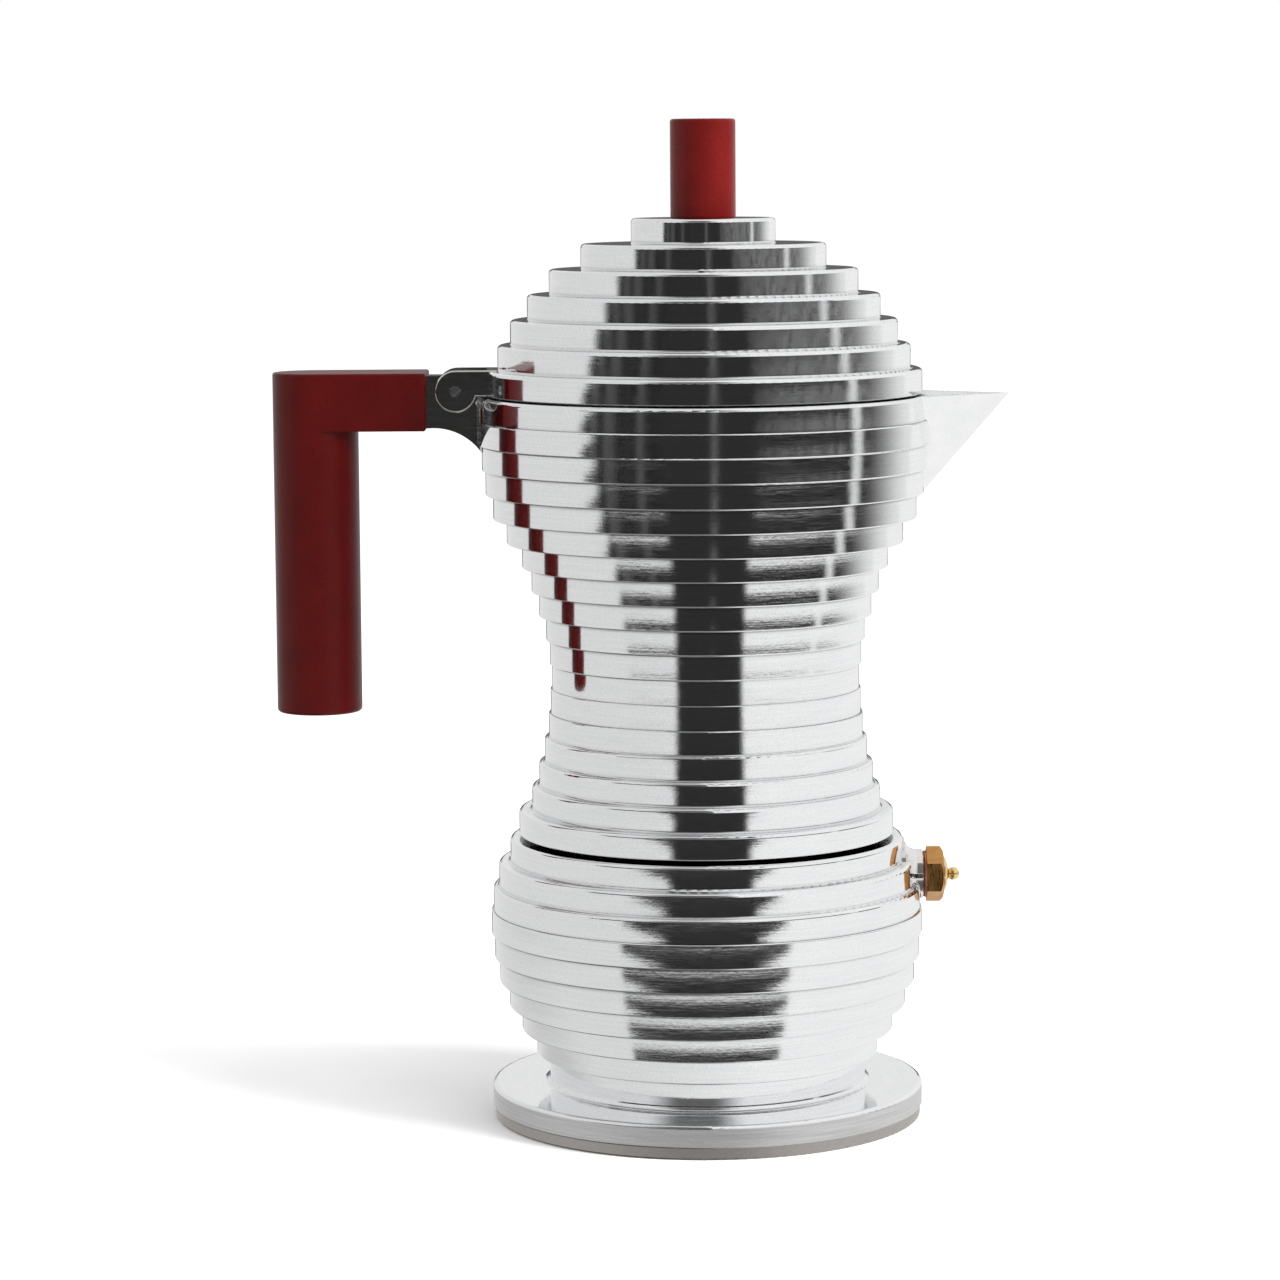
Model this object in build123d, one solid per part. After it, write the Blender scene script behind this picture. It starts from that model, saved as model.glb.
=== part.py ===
from build123d import *
import math
import os

# A three-cup stepped moka pot with a steel plate under its foot. Millimetres.
# +Z is up, the origin is the centre of the plate's underside on the pot's axis,
# the pouring beak and the safety valve face +X, and the handle faces -X.

# Levels of the outer shape
PLATE_TOP = 2.3
FLANGE_TOP = 7.0
RINGS_BOTTOM = 13.2
SHOULDER = 58.2
SEAM = 0.8
COLLECTOR_BOTTOM = SHOULDER + SEAM
COLLECTOR_TOP = 149.0
LID_GAP = 0.3
LID_BOTTOM = COLLECTOR_TOP + LID_GAP
LID_TOP = 185.0
KNOB_TOP = 205.0

# Ring radii, each list from the bottom ring up
BOILER_RINGS = [35.3, 38.4, 41.0, 42.9, 43.9, 44.5, 44.1, 42.9, 40.5]
COLLECTOR_RINGS = [
    38.6, 35.9, 34.4, 33.2, 32.3, 31.9, 31.6, 32.0, 32.7,
    34.1, 35.6, 37.5, 40.6, 43.3, 44.8, 45.5, 46.0, 45.5,
]
LID_RINGS = [44.5, 42.1, 39.5, 36.0, 31.5, 25.0, 14.7]
FLANGE_R = 44.5
FLANGE_EDGE = 0.3
FOOT_NECK_R = 32.7
FOOT_NECK_ROOT = 1.2
PLATE_R = 44.1
PLATE_EDGE = 0.3

# Corner roundings of the rings
LEDGE_ROUND = 0.8
LEDGE_ROOT = 0.45
UNDERCUT_ROUND = 0.25
UNDERCUT_ROOT = 0.15
MIN_CORNER = 0.01
SHALLOW_STEP = 0.6

# Walls and floors
BOILER_WALL = 3.2
BOILER_FLOOR = 7.5
FOOT_BORE = 28.6
FOOT_CORNER_RISE = 3.0
FOOT_CORNER_IN = 2.0
BOILER_ROOF_DROP = 3.0
COLLECTOR_WALL = 3.2
COLLECTOR_FLOOR = 75.0
COLLECTOR_FLOOR_BEVEL = 1.5
LID_WALL_R = 2.0
LID_WALL_Z = 1.4
LID_RIM_WALL = 2.6
LID_CEILING_R = 10.0

# Neck, threads and the seat above them
NECK_R = 31.8
NECK_BORE = 29.3
NECK_TOP = 66.7
NECK_ROOT = 0.6
NECK_EDGE = 0.4
THREAD_DEPTH = 0.9
THREAD_PITCH = 3.0
THREAD_TURNS = 1.5
THREAD_FOOT_HALF = 1.1
THREAD_CREST_HALF = 0.45
THREAD_EMBED = 0.3
THREAD_CLEARANCE = 0.3
NECK_THREAD_START = 1.6
SKIRT_THREAD_START = 1.8
SKIRT_BORE = NECK_R + 2 * THREAD_DEPTH + THREAD_CLEARANCE
SEAT_BORE = 32.7
SEAT_BOTTOM = 67.8
GASKET_R = 32.3
GASKET_BORE = 25.2
GASKET_BOTTOM = 68.1
GASKET_TOP = 70.6
GASKET_EDGE = 0.4
FILTER_R = 27.2
FILTER_THICKNESS = 0.8
FILTER_HOLE_R = 0.55
FILTER_SPACING = 3.0
FILTER_HOLE_RINGS = 8
SEAT_TOP = GASKET_TOP + 0.1
FILTER_POCKET_R = 27.6
FILTER_POCKET_TOP = GASKET_TOP + FILTER_THICKNESS + 0.1
FILTER_DOME_R = 24.0
FILTER_DOME_RISE = 1.8

# Funnel
FUNNEL_RIM_R = 31.4
FUNNEL_RIM_BOTTOM = 66.8
FUNNEL_RIM_TOP = 68.0
BASKET_R = 28.9
SHEET = 1.2
SCREEN_Z = 48.0
SCREEN_THICKNESS = 0.6
SCREEN_LEDGE_R = 26.4
CONE_BOTTOM = 40.8
STEM_TOP_R = 5.6
STEM_END_R = 4.8
STEM_END = 12.0

# Column in the collector
COLUMN_BASE_R = 8.0
COLUMN_TIP_R = 5.6
COLUMN_BORE = 3.4
COLUMN_TOP = 130.0
COLUMN_DOME = 3.0
COLUMN_DOME_SHOULDER = 0.9
COLUMN_DOME_SHARE = 0.72
WINDOW_LOW = 119.0
WINDOW_HEIGHT = 5.0
WINDOW_WIDTH = 4.4

# Pouring beak: a V-shaped channel whose keel runs straight up to the tip
BEAK_TIP_X = 62.3
BEAK_KEEL_DX = 21.5
BEAK_KEEL_DZ = 24.5
BEAK_SIDE_SLOPE = 0.695
BEAK_ROOT_X = 37.0
BEAK_WALL = 2.0
BEAK_PRISM_SHARE = 1.6
BEAK_REACH = 20.0
BEAK_DEPTH = 60.0
BEAK_HALF = 30.0

# Lid hinge
HINGE_X = -50.5
HINGE_Z = 150.35
LOBE_R = 4.25
FORK_HALF = 7.0
FORK_SLOT_HALF = 3.8
FORK_ROOT_X = -42.0
FORK_EDGE = 0.3
FORK_GAP = 0.4
FORK_SLOT_INNER = 2.0
FORK_SLOT_RIM = 0.2
WEB_HALF = 3.5
PIN_R = 1.2
PIN_RUNNING_GAP = 0.05
PIN_HALF_LENGTH = 6.2
PIN_CHAMFER = 0.25
WEB_NOSE_R = 3.05

# Bracket and tang under the handle
HANDLE_FACE_X = -56.5
BRACKET_ARC_X = -55.2
BRACKET_ARC_Z = 130.9
BRACKET_ARC_R = 11.9
BRACKET_ARC_MIDDLE_X = -49.5
BRACKET_END_X = -43.6
FLARE_R = 1.8
FLARE_ROOT_X = -44.8
FLARE_BOTTOM = 130.0
FLARE_HEIGHT = 30.0
TANG_END_X = -71.0
TANG_HALF = 3.0
TANG_BOTTOM = 146.4
TANG_TOP = 151.8
TANG_END_GAP = 0.2

# Handle
ARM_TOP = 154.2
ARM_BOTTOM = 142.5
GRIP_X = -79.4
GRIP_R = 8.7
GRIP_BOTTOM = 84.5
GRIP_OVERLAP = 5.0
ARM_EDGE = 0.5
GRIP_EDGE = 0.8
HANDLE_SCREW_X = -64.0
HANDLE_SCREW_R = 1.75
HANDLE_SCREW_HEAD_R = 3.1
HANDLE_SCREW_HEAD_BOTTOM = 143.1
HANDLE_SCREW_HEAD = 1.8
HANDLE_SCREW_END = 150.8
HANDLE_SCREW_RECESS = 1.6
HANDLE_SCREW_RECESS_GAP = 0.1
HANDLE_SLOT = (4.0, 0.9, 1.0)

# Knob and its screw
KNOB_R = 6.65
KNOB_EDGE = 0.6
LID_CEILING = 182.6
KNOB_SCREW_R = 1.75
KNOB_SCREW_END = 197.0
KNOB_HOLE_R = 1.95
WASHER_R = 5.0
WASHER_THICKNESS = 0.8
KNOB_SCREW_HEAD_R = 3.6
KNOB_SCREW_HEAD = 2.4
KNOB_SCREW_EDGE = 0.7
KNOB_SLOT = (4.4, 1.0, 1.3)

# Safety valve on the +X side
VALVE_Z = 49.6
BOSS_FACE_X = 45.0
BOSS_R = 5.1
BOSS_FLARE = 2.6
BOSS_LENGTH = 4.2
BOSS_EDGE = 0.5
BOSS_ROOT_X = 36.0
BOSS_BORE_RUN_IN = 4.0
VALVE_WASHER = 0.4
HEX_FLAT = 10.0
HEX_LENGTH = 3.5
HEX_CHAMFER_X = 0.7
HEX_FACE_MARGIN = 0.2
HEX_X = BOSS_FACE_X + VALVE_WASHER
HEX_END_X = HEX_X + HEX_LENGTH
SHANK_R = 4.0
SHANK_END_X = 38.4
SHANK_CHAMFER = 0.5
WASHER_MARGIN = 0.3
VALVE_BORE = 2.6
SEAT_X = 41.0
SEAT_HOLE = 1.5
SEAL_R = 2.2
SEAL_THICKNESS = 0.6
HEAD_R = 2.3
HEAD_THICKNESS = 1.0
STEM_R = 0.65
BALL_R = 1.35
BALL_X = 51.0
CAP_R = 3.5
CAP_HEIGHT = 1.0
CAP_HOLE = 1.0
CAP_COLLAR = 0.8
CAP_RIM = 0.3
CAP_DOME_X = 0.7
CAP_DOME_IN = 0.7
CAP_TOP_IN = 1.9
SPRING_R = 1.6
SPRING_WIRE = 0.25
SPRING_TURNS = 5


def ring_corners(radii, bottom, pitch):
    """Corners (radius, height) of stacked rings from the bottom up, each with its rounding."""
    corners = []
    for index, radius in enumerate(radii):
        low = bottom + index * pitch
        below = radii[index - 1] if index else 0
        above = radii[index + 1] if index + 1 < len(radii) else 0
        corners.append(((radius, low), corner_round(radius - below, low_side=True)))
        corners.append(((radius, low + pitch), corner_round(radius - above, low_side=False)))
    return corners


def corner_round(step, low_side):
    """Rounding of a ring's corner, from how far the ring stands out past its neighbour.

    The root of a shallow ledge stays sharp.
    """
    if low_side and -SHALLOW_STEP < step < 0:
        return MIN_CORNER
    if low_side:
        size = UNDERCUT_ROUND if step > 0 else LEDGE_ROOT
        share = 0.5 if step > 0 else 0.3
    else:
        size = LEDGE_ROUND if step > 0 else UNDERCUT_ROOT
        share = 0.6 if step > 0 else 0.3
    return max(MIN_CORNER, min(size, share * abs(step)))


def ring_stack(corners, bottom, top):
    """Solid of revolution inside a stack of ring corners, filled to the axis."""
    points = [(0, bottom)] + [point for point, _ in corners] + [(0, top)]
    outline = FilletPolyline(*points, radius=[rounding for _, rounding in corners])
    outline += Line((0, top), (0, bottom))
    return turned(make_face(outline))


def turned(face):
    """Turn a (radius, height) face about the pot's axis."""
    return revolve(Plane.XZ * face, axis=Axis.Z)


def turned_polygon(points):
    """Turn a (radius, height) polygon about the pot's axis."""
    return turned(make_face(Polyline(*points, close=True)))


def turned_about_valve(points):
    """Turn an (x, radius) polygon about the valve's axis."""
    shifted = [(x, VALVE_Z + radius) for x, radius in points]
    axis = Axis((0, 0, VALVE_Z), (1, 0, 0))
    return revolve(Plane.XZ * make_face(Polyline(*shifted, close=True)), axis=axis)


def disc(radius, low, high):
    """Upright cylinder about the pot's axis, between two heights."""
    return Pos(0, 0, low) * extrude(Circle(radius), amount=high - low)


def block(x_range, y_range, z_range):
    """Box between two corners."""
    sizes = [high - low for low, high in (x_range, y_range, z_range)]
    corner = [low for low, _ in (x_range, y_range, z_range)]
    return Pos(*corner) * Box(*sizes, align=(Align.MIN, Align.MIN, Align.MIN))


def cross_pin(x, z, radius, half_length):
    """Cylinder along Y, centred on the XZ plane."""
    return extrude(Plane.XZ * (Pos(x, z) * Circle(radius)), amount=half_length, both=True)


def thread_ridge(root_radius, depth, start):
    """Helical ridge that stands out of a wall; a negative depth stands inwards."""
    path = Helix(THREAD_PITCH, THREAD_PITCH * THREAD_TURNS, root_radius, center=(0, 0, start))
    embed = math.copysign(THREAD_EMBED, depth)
    profile = make_face(Polyline(
        (-embed, -THREAD_FOOT_HALF), (-embed, THREAD_FOOT_HALF),
        (depth, THREAD_CREST_HALF), (depth, -THREAD_CREST_HALF), close=True,
    ))
    section = Plane(origin=path @ 0, x_dir=(1, 0, 0), z_dir=path % 0) * profile
    return sweep(section, path=path, is_frenet=True)


def perforated_disc(radius, low, thickness):
    """Disc with rings of small holes round a plain middle, six more in each ring."""
    hole = Circle(FILTER_HOLE_R)
    sheet = Circle(radius)
    for ring in range(1, FILTER_HOLE_RINGS + 1):
        sheet -= PolarLocations(ring * FILTER_SPACING, 6 * ring) * hole
    return Pos(0, 0, low) * extrude(sheet, amount=thickness)


def make_boiler():
    pitch = (SHOULDER - RINGS_BOTTOM) / len(BOILER_RINGS)
    foot = [
        ((FLANGE_R, PLATE_TOP), FLANGE_EDGE),
        ((FLANGE_R, FLANGE_TOP), LEDGE_ROUND),
        ((FOOT_NECK_R, FLANGE_TOP), FOOT_NECK_ROOT),
        ((FOOT_NECK_R, RINGS_BOTTOM), UNDERCUT_ROOT),
    ]
    shoulder = [
        ((NECK_R, SHOULDER), NECK_ROOT),
        ((NECK_R, NECK_TOP), NECK_EDGE),
    ]
    corners = foot + ring_corners(BOILER_RINGS, RINGS_BOTTOM, pitch) + shoulder
    body = ring_stack(corners, PLATE_TOP, NECK_TOP)
    body += boss_solid()
    body -= boiler_cavity(pitch)
    bore_start = SHANK_END_X - BOSS_BORE_RUN_IN
    body -= turned_about_valve([(bore_start, 0), (bore_start, SHANK_R),
                                (BOSS_FACE_X + 1, SHANK_R), (BOSS_FACE_X + 1, 0)])
    body += thread_ridge(NECK_R, THREAD_DEPTH, SHOULDER + NECK_THREAD_START)
    return body


def boss_solid():
    """Cast boss of the valve: flared where it leaves the rings, flat at its face."""
    start_x = BOSS_FACE_X - BOSS_LENGTH
    wide_r = BOSS_R + BOSS_FLARE
    turn = BOSS_FLARE * (1 - math.sqrt(0.5))
    outline = Polyline((BOSS_ROOT_X, 0), (BOSS_ROOT_X, wide_r), (start_x, wide_r))
    outline += ThreePointArc(
        (start_x, wide_r), (start_x + turn, BOSS_R + turn), (start_x + BOSS_FLARE, BOSS_R)
    )
    outline += Polyline(
        (start_x + BOSS_FLARE, BOSS_R),
        (BOSS_FACE_X - BOSS_EDGE, BOSS_R),
        (BOSS_FACE_X, BOSS_R - BOSS_EDGE),
        (BOSS_FACE_X, 0),
        (BOSS_ROOT_X, 0),
    )
    face = Pos(0, VALVE_Z) * make_face(outline)
    return revolve(Plane.XZ * face, axis=Axis((0, 0, VALVE_Z), (1, 0, 0)))


def boiler_cavity(pitch):
    """Smooth inside of the boiler, open through the neck."""
    walls = [
        (radius - BOILER_WALL, RINGS_BOTTOM + (index + 0.5) * pitch)
        for index, radius in enumerate(BOILER_RINGS[:-1])
    ]
    foot_corner = (FOOT_BORE, BOILER_FLOOR + FOOT_CORNER_RISE)
    roof = (NECK_BORE, SHOULDER - BOILER_ROOF_DROP)
    inside = Spline(foot_corner, *walls)
    inside += Polyline(
        walls[-1], roof, (NECK_BORE, NECK_TOP + 1), (0, NECK_TOP + 1), (0, BOILER_FLOOR),
        (FOOT_BORE - FOOT_CORNER_IN, BOILER_FLOOR), foot_corner,
    )
    return turned(make_face(inside))


def make_plate():
    plate = disc(PLATE_R, 0, PLATE_TOP)
    return fillet(plate.edges().filter_by(GeomType.CIRCLE).group_by(Axis.Z)[0], PLATE_EDGE)


def make_collector():
    pitch = (COLLECTOR_TOP - COLLECTOR_BOTTOM) / len(COLLECTOR_RINGS)
    corners = ring_corners(COLLECTOR_RINGS, COLLECTOR_BOTTOM, pitch)
    body = ring_stack(corners, COLLECTOR_BOTTOM, COLLECTOR_TOP)
    body += beak_prism(0, COLLECTOR_TOP)
    body += bracket()
    body -= collector_cavity(pitch)
    body -= beak_prism(BEAK_WALL, COLLECTOR_TOP + 2)
    body -= turned_polygon([
        (0, COLLECTOR_BOTTOM - 1), (SKIRT_BORE, COLLECTOR_BOTTOM - 1),
        (SKIRT_BORE, SEAT_BOTTOM), (SEAT_BORE, SEAT_BOTTOM), (SEAT_BORE, SEAT_TOP),
        (FILTER_POCKET_R, SEAT_TOP), (FILTER_POCKET_R, FILTER_POCKET_TOP),
        (FILTER_DOME_R, FILTER_POCKET_TOP), (COLUMN_BORE, FILTER_POCKET_TOP + FILTER_DOME_RISE),
        (0, FILTER_POCKET_TOP + FILTER_DOME_RISE),
    ])
    body -= disc(COLUMN_BORE, FILTER_POCKET_TOP, WINDOW_LOW + WINDOW_HEIGHT)
    body -= block((-WINDOW_WIDTH / 2, WINDOW_WIDTH / 2), (-COLUMN_BASE_R, COLUMN_BASE_R),
                  (WINDOW_LOW, WINDOW_LOW + WINDOW_HEIGHT))
    body += thread_ridge(SKIRT_BORE, -THREAD_DEPTH, COLLECTOR_BOTTOM + SKIRT_THREAD_START)
    return body


def collector_cavity(pitch):
    """Smooth inside of the collector, open at the rim, round the tapered column it keeps."""
    walls = [
        (radius - COLLECTOR_WALL, COLLECTOR_BOTTOM + (index + 0.5) * pitch)
        for index, radius in enumerate(COLLECTOR_RINGS[3:-1], start=3)
    ]
    rim_r = COLLECTOR_RINGS[-1] - COLLECTOR_WALL
    first_r = walls[0][0]
    inside = Spline(*walls, (rim_r, COLLECTOR_TOP))
    inside += Polyline((rim_r, COLLECTOR_TOP), (rim_r, COLLECTOR_TOP + 1), (0, COLLECTOR_TOP + 1),
                       (0, COLUMN_TOP))
    dome_edge = (COLUMN_TIP_R, COLUMN_TOP - COLUMN_DOME)
    dome_middle = (COLUMN_TIP_R * COLUMN_DOME_SHARE, COLUMN_TOP - COLUMN_DOME_SHOULDER)
    inside += ThreePointArc((0, COLUMN_TOP), dome_middle, dome_edge)
    inside += Polyline(dome_edge, (COLUMN_BASE_R, COLLECTOR_FLOOR),
                       (first_r - COLLECTOR_FLOOR_BEVEL, COLLECTOR_FLOOR), walls[0])
    return turned(make_face(inside))


def beak_prism(wall, top):
    """V-shaped prism along the keel; a wall moves its sides in by that much."""
    side_normal = Vector(BEAK_KEEL_DX, 0, BEAK_KEEL_DZ).cross(Vector(-1, BEAK_SIDE_SLOPE, 0))
    setback = wall * side_normal.length / abs(side_normal.X)
    length = BEAK_TIP_X - setback - BEAK_ROOT_X
    rise = length * BEAK_KEEL_DZ / BEAK_KEEL_DX
    keel_z = COLLECTOR_TOP - rise
    half = length * BEAK_SIDE_SLOPE
    section = Plane.YZ * make_face(Polyline((0, keel_z), (half, keel_z + rise),
                                            (-half, keel_z + rise), close=True))
    along = Vector(BEAK_KEEL_DX, 0, BEAK_KEEL_DZ)
    prism = extrude(Pos(BEAK_ROOT_X, 0, 0) * section, amount=BEAK_PRISM_SHARE * along.length,
                    dir=along.normalized())
    keep = block((BEAK_ROOT_X, BEAK_TIP_X + BEAK_REACH), (-BEAK_HALF, BEAK_HALF),
                 (COLLECTOR_TOP - BEAK_DEPTH, top))
    return prism & keep


def bracket():
    """Web that carries the hinge, flared into the rings, with the tang for the handle."""
    arc_left = (HANDLE_FACE_X, arc_height(HANDLE_FACE_X))
    arc_middle = (BRACKET_ARC_MIDDLE_X, arc_height(BRACKET_ARC_MIDDLE_X))
    arc_right = (BRACKET_END_X, arc_height(BRACKET_END_X))
    nose_top = (HINGE_X, HINGE_Z + WEB_NOSE_R)
    turn = WEB_NOSE_R * math.sqrt(0.5)
    nose_middle = (HINGE_X + turn, HINGE_Z + turn)
    nose_right = (HINGE_X + WEB_NOSE_R, HINGE_Z)
    side = ThreePointArc(arc_left, arc_middle, arc_right)
    side += Polyline(arc_right, (BRACKET_END_X, COLLECTOR_TOP),
                     (HINGE_X + WEB_NOSE_R, COLLECTOR_TOP), nose_right)
    side += ThreePointArc(nose_right, nose_middle, nose_top)
    side += Polyline(nose_top, (HANDLE_FACE_X, HINGE_Z + WEB_NOSE_R), arc_left)
    profile = Plane.XZ * make_face(side)
    web = extrude(profile, amount=WEB_HALF, both=True)
    wide = extrude(profile, amount=WEB_HALF + FLARE_R, both=True)
    web += wide & flare_plan()
    web += block((TANG_END_X, HANDLE_FACE_X), (-TANG_HALF, TANG_HALF), (TANG_BOTTOM, TANG_TOP))
    fork_room = cross_pin(HINGE_X, HINGE_Z, LOBE_R + FORK_GAP, FORK_HALF + 2)
    web -= fork_room - cross_pin(HINGE_X, HINGE_Z, LOBE_R + 2, WEB_HALF)
    web -= cross_pin(HINGE_X, HINGE_Z, PIN_R + PIN_RUNNING_GAP, FORK_HALF)
    return web - screw_shank(HANDLE_SCREW_R)


def arc_height(x):
    """Height of the bracket's concave underside at x."""
    return BRACKET_ARC_Z + math.sqrt(BRACKET_ARC_R**2 - (x - BRACKET_ARC_X)**2)


def flare_plan():
    """Plan of the bracket's root, widening by an arc on each side, as an upright prism."""
    root_x = FLARE_ROOT_X
    start_x = root_x - FLARE_R
    edge = WEB_HALF + FLARE_R
    turn = FLARE_R * (1 - math.sqrt(0.5))
    plan = ThreePointArc((start_x, WEB_HALF), (root_x - turn, WEB_HALF + turn), (root_x, edge))
    plan += Polyline((root_x, edge), (BRACKET_END_X, edge), (BRACKET_END_X, -edge), (root_x, -edge))
    plan += ThreePointArc((root_x, -edge), (root_x - turn, -WEB_HALF - turn), (start_x, -WEB_HALF))
    plan += Line((start_x, -WEB_HALF), (start_x, WEB_HALF))
    return Pos(0, 0, FLARE_BOTTOM) * extrude(make_face(plan), amount=FLARE_HEIGHT)


def screw_shank(radius):
    """Upright cylinder where the handle's screw runs."""
    height = HANDLE_SCREW_END - HANDLE_SCREW_HEAD_BOTTOM
    shank = extrude(Circle(radius), amount=height)
    return Pos(HANDLE_SCREW_X, 0, HANDLE_SCREW_HEAD_BOTTOM) * shank


def make_handle():
    plan = Pos(GRIP_X, 0) * Circle(GRIP_R)
    plan += make_face(Polyline((GRIP_X, GRIP_R), (HANDLE_FACE_X, GRIP_R),
                               (HANDLE_FACE_X, -GRIP_R), (GRIP_X, -GRIP_R), close=True))
    arm = Pos(0, 0, ARM_BOTTOM) * extrude(plan, amount=ARM_TOP - ARM_BOTTOM)
    top_edges = arm.faces().sort_by(Axis.Z)[-1].edges()
    end_edges = arm.faces().sort_by(Axis.X)[-1].edges()
    arm = fillet(top_edges + end_edges, ARM_EDGE)
    grip_height = ARM_TOP - GRIP_OVERLAP - GRIP_BOTTOM
    grip = Pos(GRIP_X, 0, GRIP_BOTTOM) * extrude(Circle(GRIP_R), amount=grip_height)
    grip = fillet(grip.edges().filter_by(GeomType.CIRCLE).group_by(Axis.Z)[0], GRIP_EDGE)
    handle = arm + grip
    handle -= block((TANG_END_X - TANG_END_GAP, HANDLE_FACE_X + 1), (-TANG_HALF, TANG_HALF),
                    (TANG_BOTTOM, TANG_TOP))
    handle -= screw_shank(HANDLE_SCREW_R)
    head_room = extrude(Circle(HANDLE_SCREW_HEAD_R + HANDLE_SCREW_RECESS_GAP),
                        amount=HANDLE_SCREW_HEAD + HANDLE_SCREW_RECESS)
    return handle - Pos(HANDLE_SCREW_X, 0, HANDLE_SCREW_HEAD_BOTTOM - HANDLE_SCREW_RECESS) * head_room


def make_handle_screw():
    head = Pos(HANDLE_SCREW_X, 0, HANDLE_SCREW_HEAD_BOTTOM) * extrude(
        Circle(HANDLE_SCREW_HEAD_R), amount=HANDLE_SCREW_HEAD
    )
    screw = head + screw_shank(HANDLE_SCREW_R)
    return screw - cross_slot(HANDLE_SCREW_X, HANDLE_SCREW_HEAD_BOTTOM, *HANDLE_SLOT)


def cross_slot(x, low, length, width, depth):
    """Cross recess cut up into a screw's head."""
    half, thin = length / 2, width / 2
    first = block((x - half, x + half), (-thin, thin), (low, low + depth))
    return first + block((x - thin, x + thin), (-half, half), (low, low + depth))


def make_lid():
    pitch = (LID_TOP - LID_BOTTOM) / len(LID_RINGS)
    corners = ring_corners(LID_RINGS, LID_BOTTOM, pitch)
    lid = ring_stack(corners, LID_BOTTOM, LID_TOP)
    lid += hinge_fork()
    lid -= lid_cavity(pitch)
    lid -= disc(KNOB_HOLE_R, LID_CEILING - 1, LID_TOP + 1)
    return lid


def lid_cavity(pitch):
    """Smooth inside of the lid, a wall's thickness under the steps' inner corners."""
    walls = [
        (radius - LID_WALL_R, LID_BOTTOM + (index + 1) * pitch - LID_WALL_Z)
        for index, radius in enumerate(LID_RINGS[1:])
    ]
    rim_r = LID_RINGS[0] - LID_RIM_WALL
    inside = Spline((rim_r, LID_BOTTOM), *walls)
    inside += Polyline(
        walls[-1], (LID_CEILING_R, LID_CEILING), (0, LID_CEILING), (0, LID_BOTTOM - 1),
        (rim_r, LID_BOTTOM - 1), (rim_r, LID_BOTTOM),
    )
    return turned(make_face(inside))


def hinge_fork():
    """Two round-ended cheeks that hold the pin on each side of the web."""
    cheeks = cross_pin(HINGE_X, HINGE_Z, LOBE_R, FORK_HALF)
    cheeks += block((HINGE_X, FORK_ROOT_X), (-FORK_HALF, FORK_HALF), (LID_BOTTOM, HINGE_Z + LOBE_R))
    sides = cheeks.faces().sort_by(Axis.Y)
    cheeks = fillet(sides[0].edges() + sides[-1].edges(), FORK_EDGE)
    inner = LID_RINGS[0] - FORK_SLOT_INNER
    slot = block((HINGE_X - 10, -inner), (-FORK_SLOT_HALF, FORK_SLOT_HALF),
                 (LID_BOTTOM - 10, LID_BOTTOM + 10))
    slot -= disc(LID_RINGS[0] - FORK_SLOT_RIM, LID_BOTTOM - 20, LID_BOTTOM + 20)
    return cheeks - slot - cross_pin(HINGE_X, HINGE_Z, PIN_R, FORK_HALF)


def make_hinge_pin():
    pin = cross_pin(HINGE_X, HINGE_Z, PIN_R, PIN_HALF_LENGTH)
    return chamfer(pin.edges().filter_by(GeomType.CIRCLE), PIN_CHAMFER)


def make_knob():
    knob = disc(KNOB_R, LID_TOP, KNOB_TOP)
    knob = fillet(knob.edges().filter_by(GeomType.CIRCLE).group_by(Axis.Z)[-1], KNOB_EDGE)
    return knob - disc(KNOB_SCREW_R, LID_TOP - 1, KNOB_SCREW_END)


def make_knob_washer():
    washer = disc(WASHER_R, LID_CEILING - WASHER_THICKNESS, LID_CEILING)
    return washer - disc(KNOB_HOLE_R, LID_CEILING - 2, LID_CEILING + 1)


def make_knob_screw():
    top = LID_CEILING - WASHER_THICKNESS
    screw = disc(KNOB_SCREW_HEAD_R, top - KNOB_SCREW_HEAD, top)
    screw = fillet(screw.edges().filter_by(GeomType.CIRCLE).group_by(Axis.Z)[0], KNOB_SCREW_EDGE)
    screw += disc(KNOB_SCREW_R, top, KNOB_SCREW_END)
    return screw - cross_slot(0, top - KNOB_SCREW_HEAD, *KNOB_SLOT)


def make_gasket():
    gasket = disc(GASKET_R, GASKET_BOTTOM, GASKET_TOP)
    gasket -= disc(GASKET_BORE, GASKET_BOTTOM - 1, GASKET_TOP + 1)
    return fillet(gasket.edges().filter_by(GeomType.CIRCLE), GASKET_EDGE)


def make_filter_plate():
    return perforated_disc(FILTER_R, GASKET_TOP, FILTER_THICKNESS)


def make_funnel():
    inner = BASKET_R - SHEET
    return turned_polygon([
        (FUNNEL_RIM_R, FUNNEL_RIM_TOP), (FUNNEL_RIM_R, FUNNEL_RIM_BOTTOM),
        (BASKET_R, FUNNEL_RIM_BOTTOM), (BASKET_R, SCREEN_Z - SHEET),
        (STEM_TOP_R, CONE_BOTTOM), (STEM_END_R, STEM_END), (STEM_END_R - SHEET, STEM_END),
        (STEM_TOP_R - SHEET, CONE_BOTTOM + SHEET), (SCREEN_LEDGE_R, SCREEN_Z),
        (inner, SCREEN_Z), (inner, FUNNEL_RIM_TOP),
    ])


def make_funnel_screen():
    return perforated_disc(BASKET_R - SHEET, SCREEN_Z, SCREEN_THICKNESS)


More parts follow.
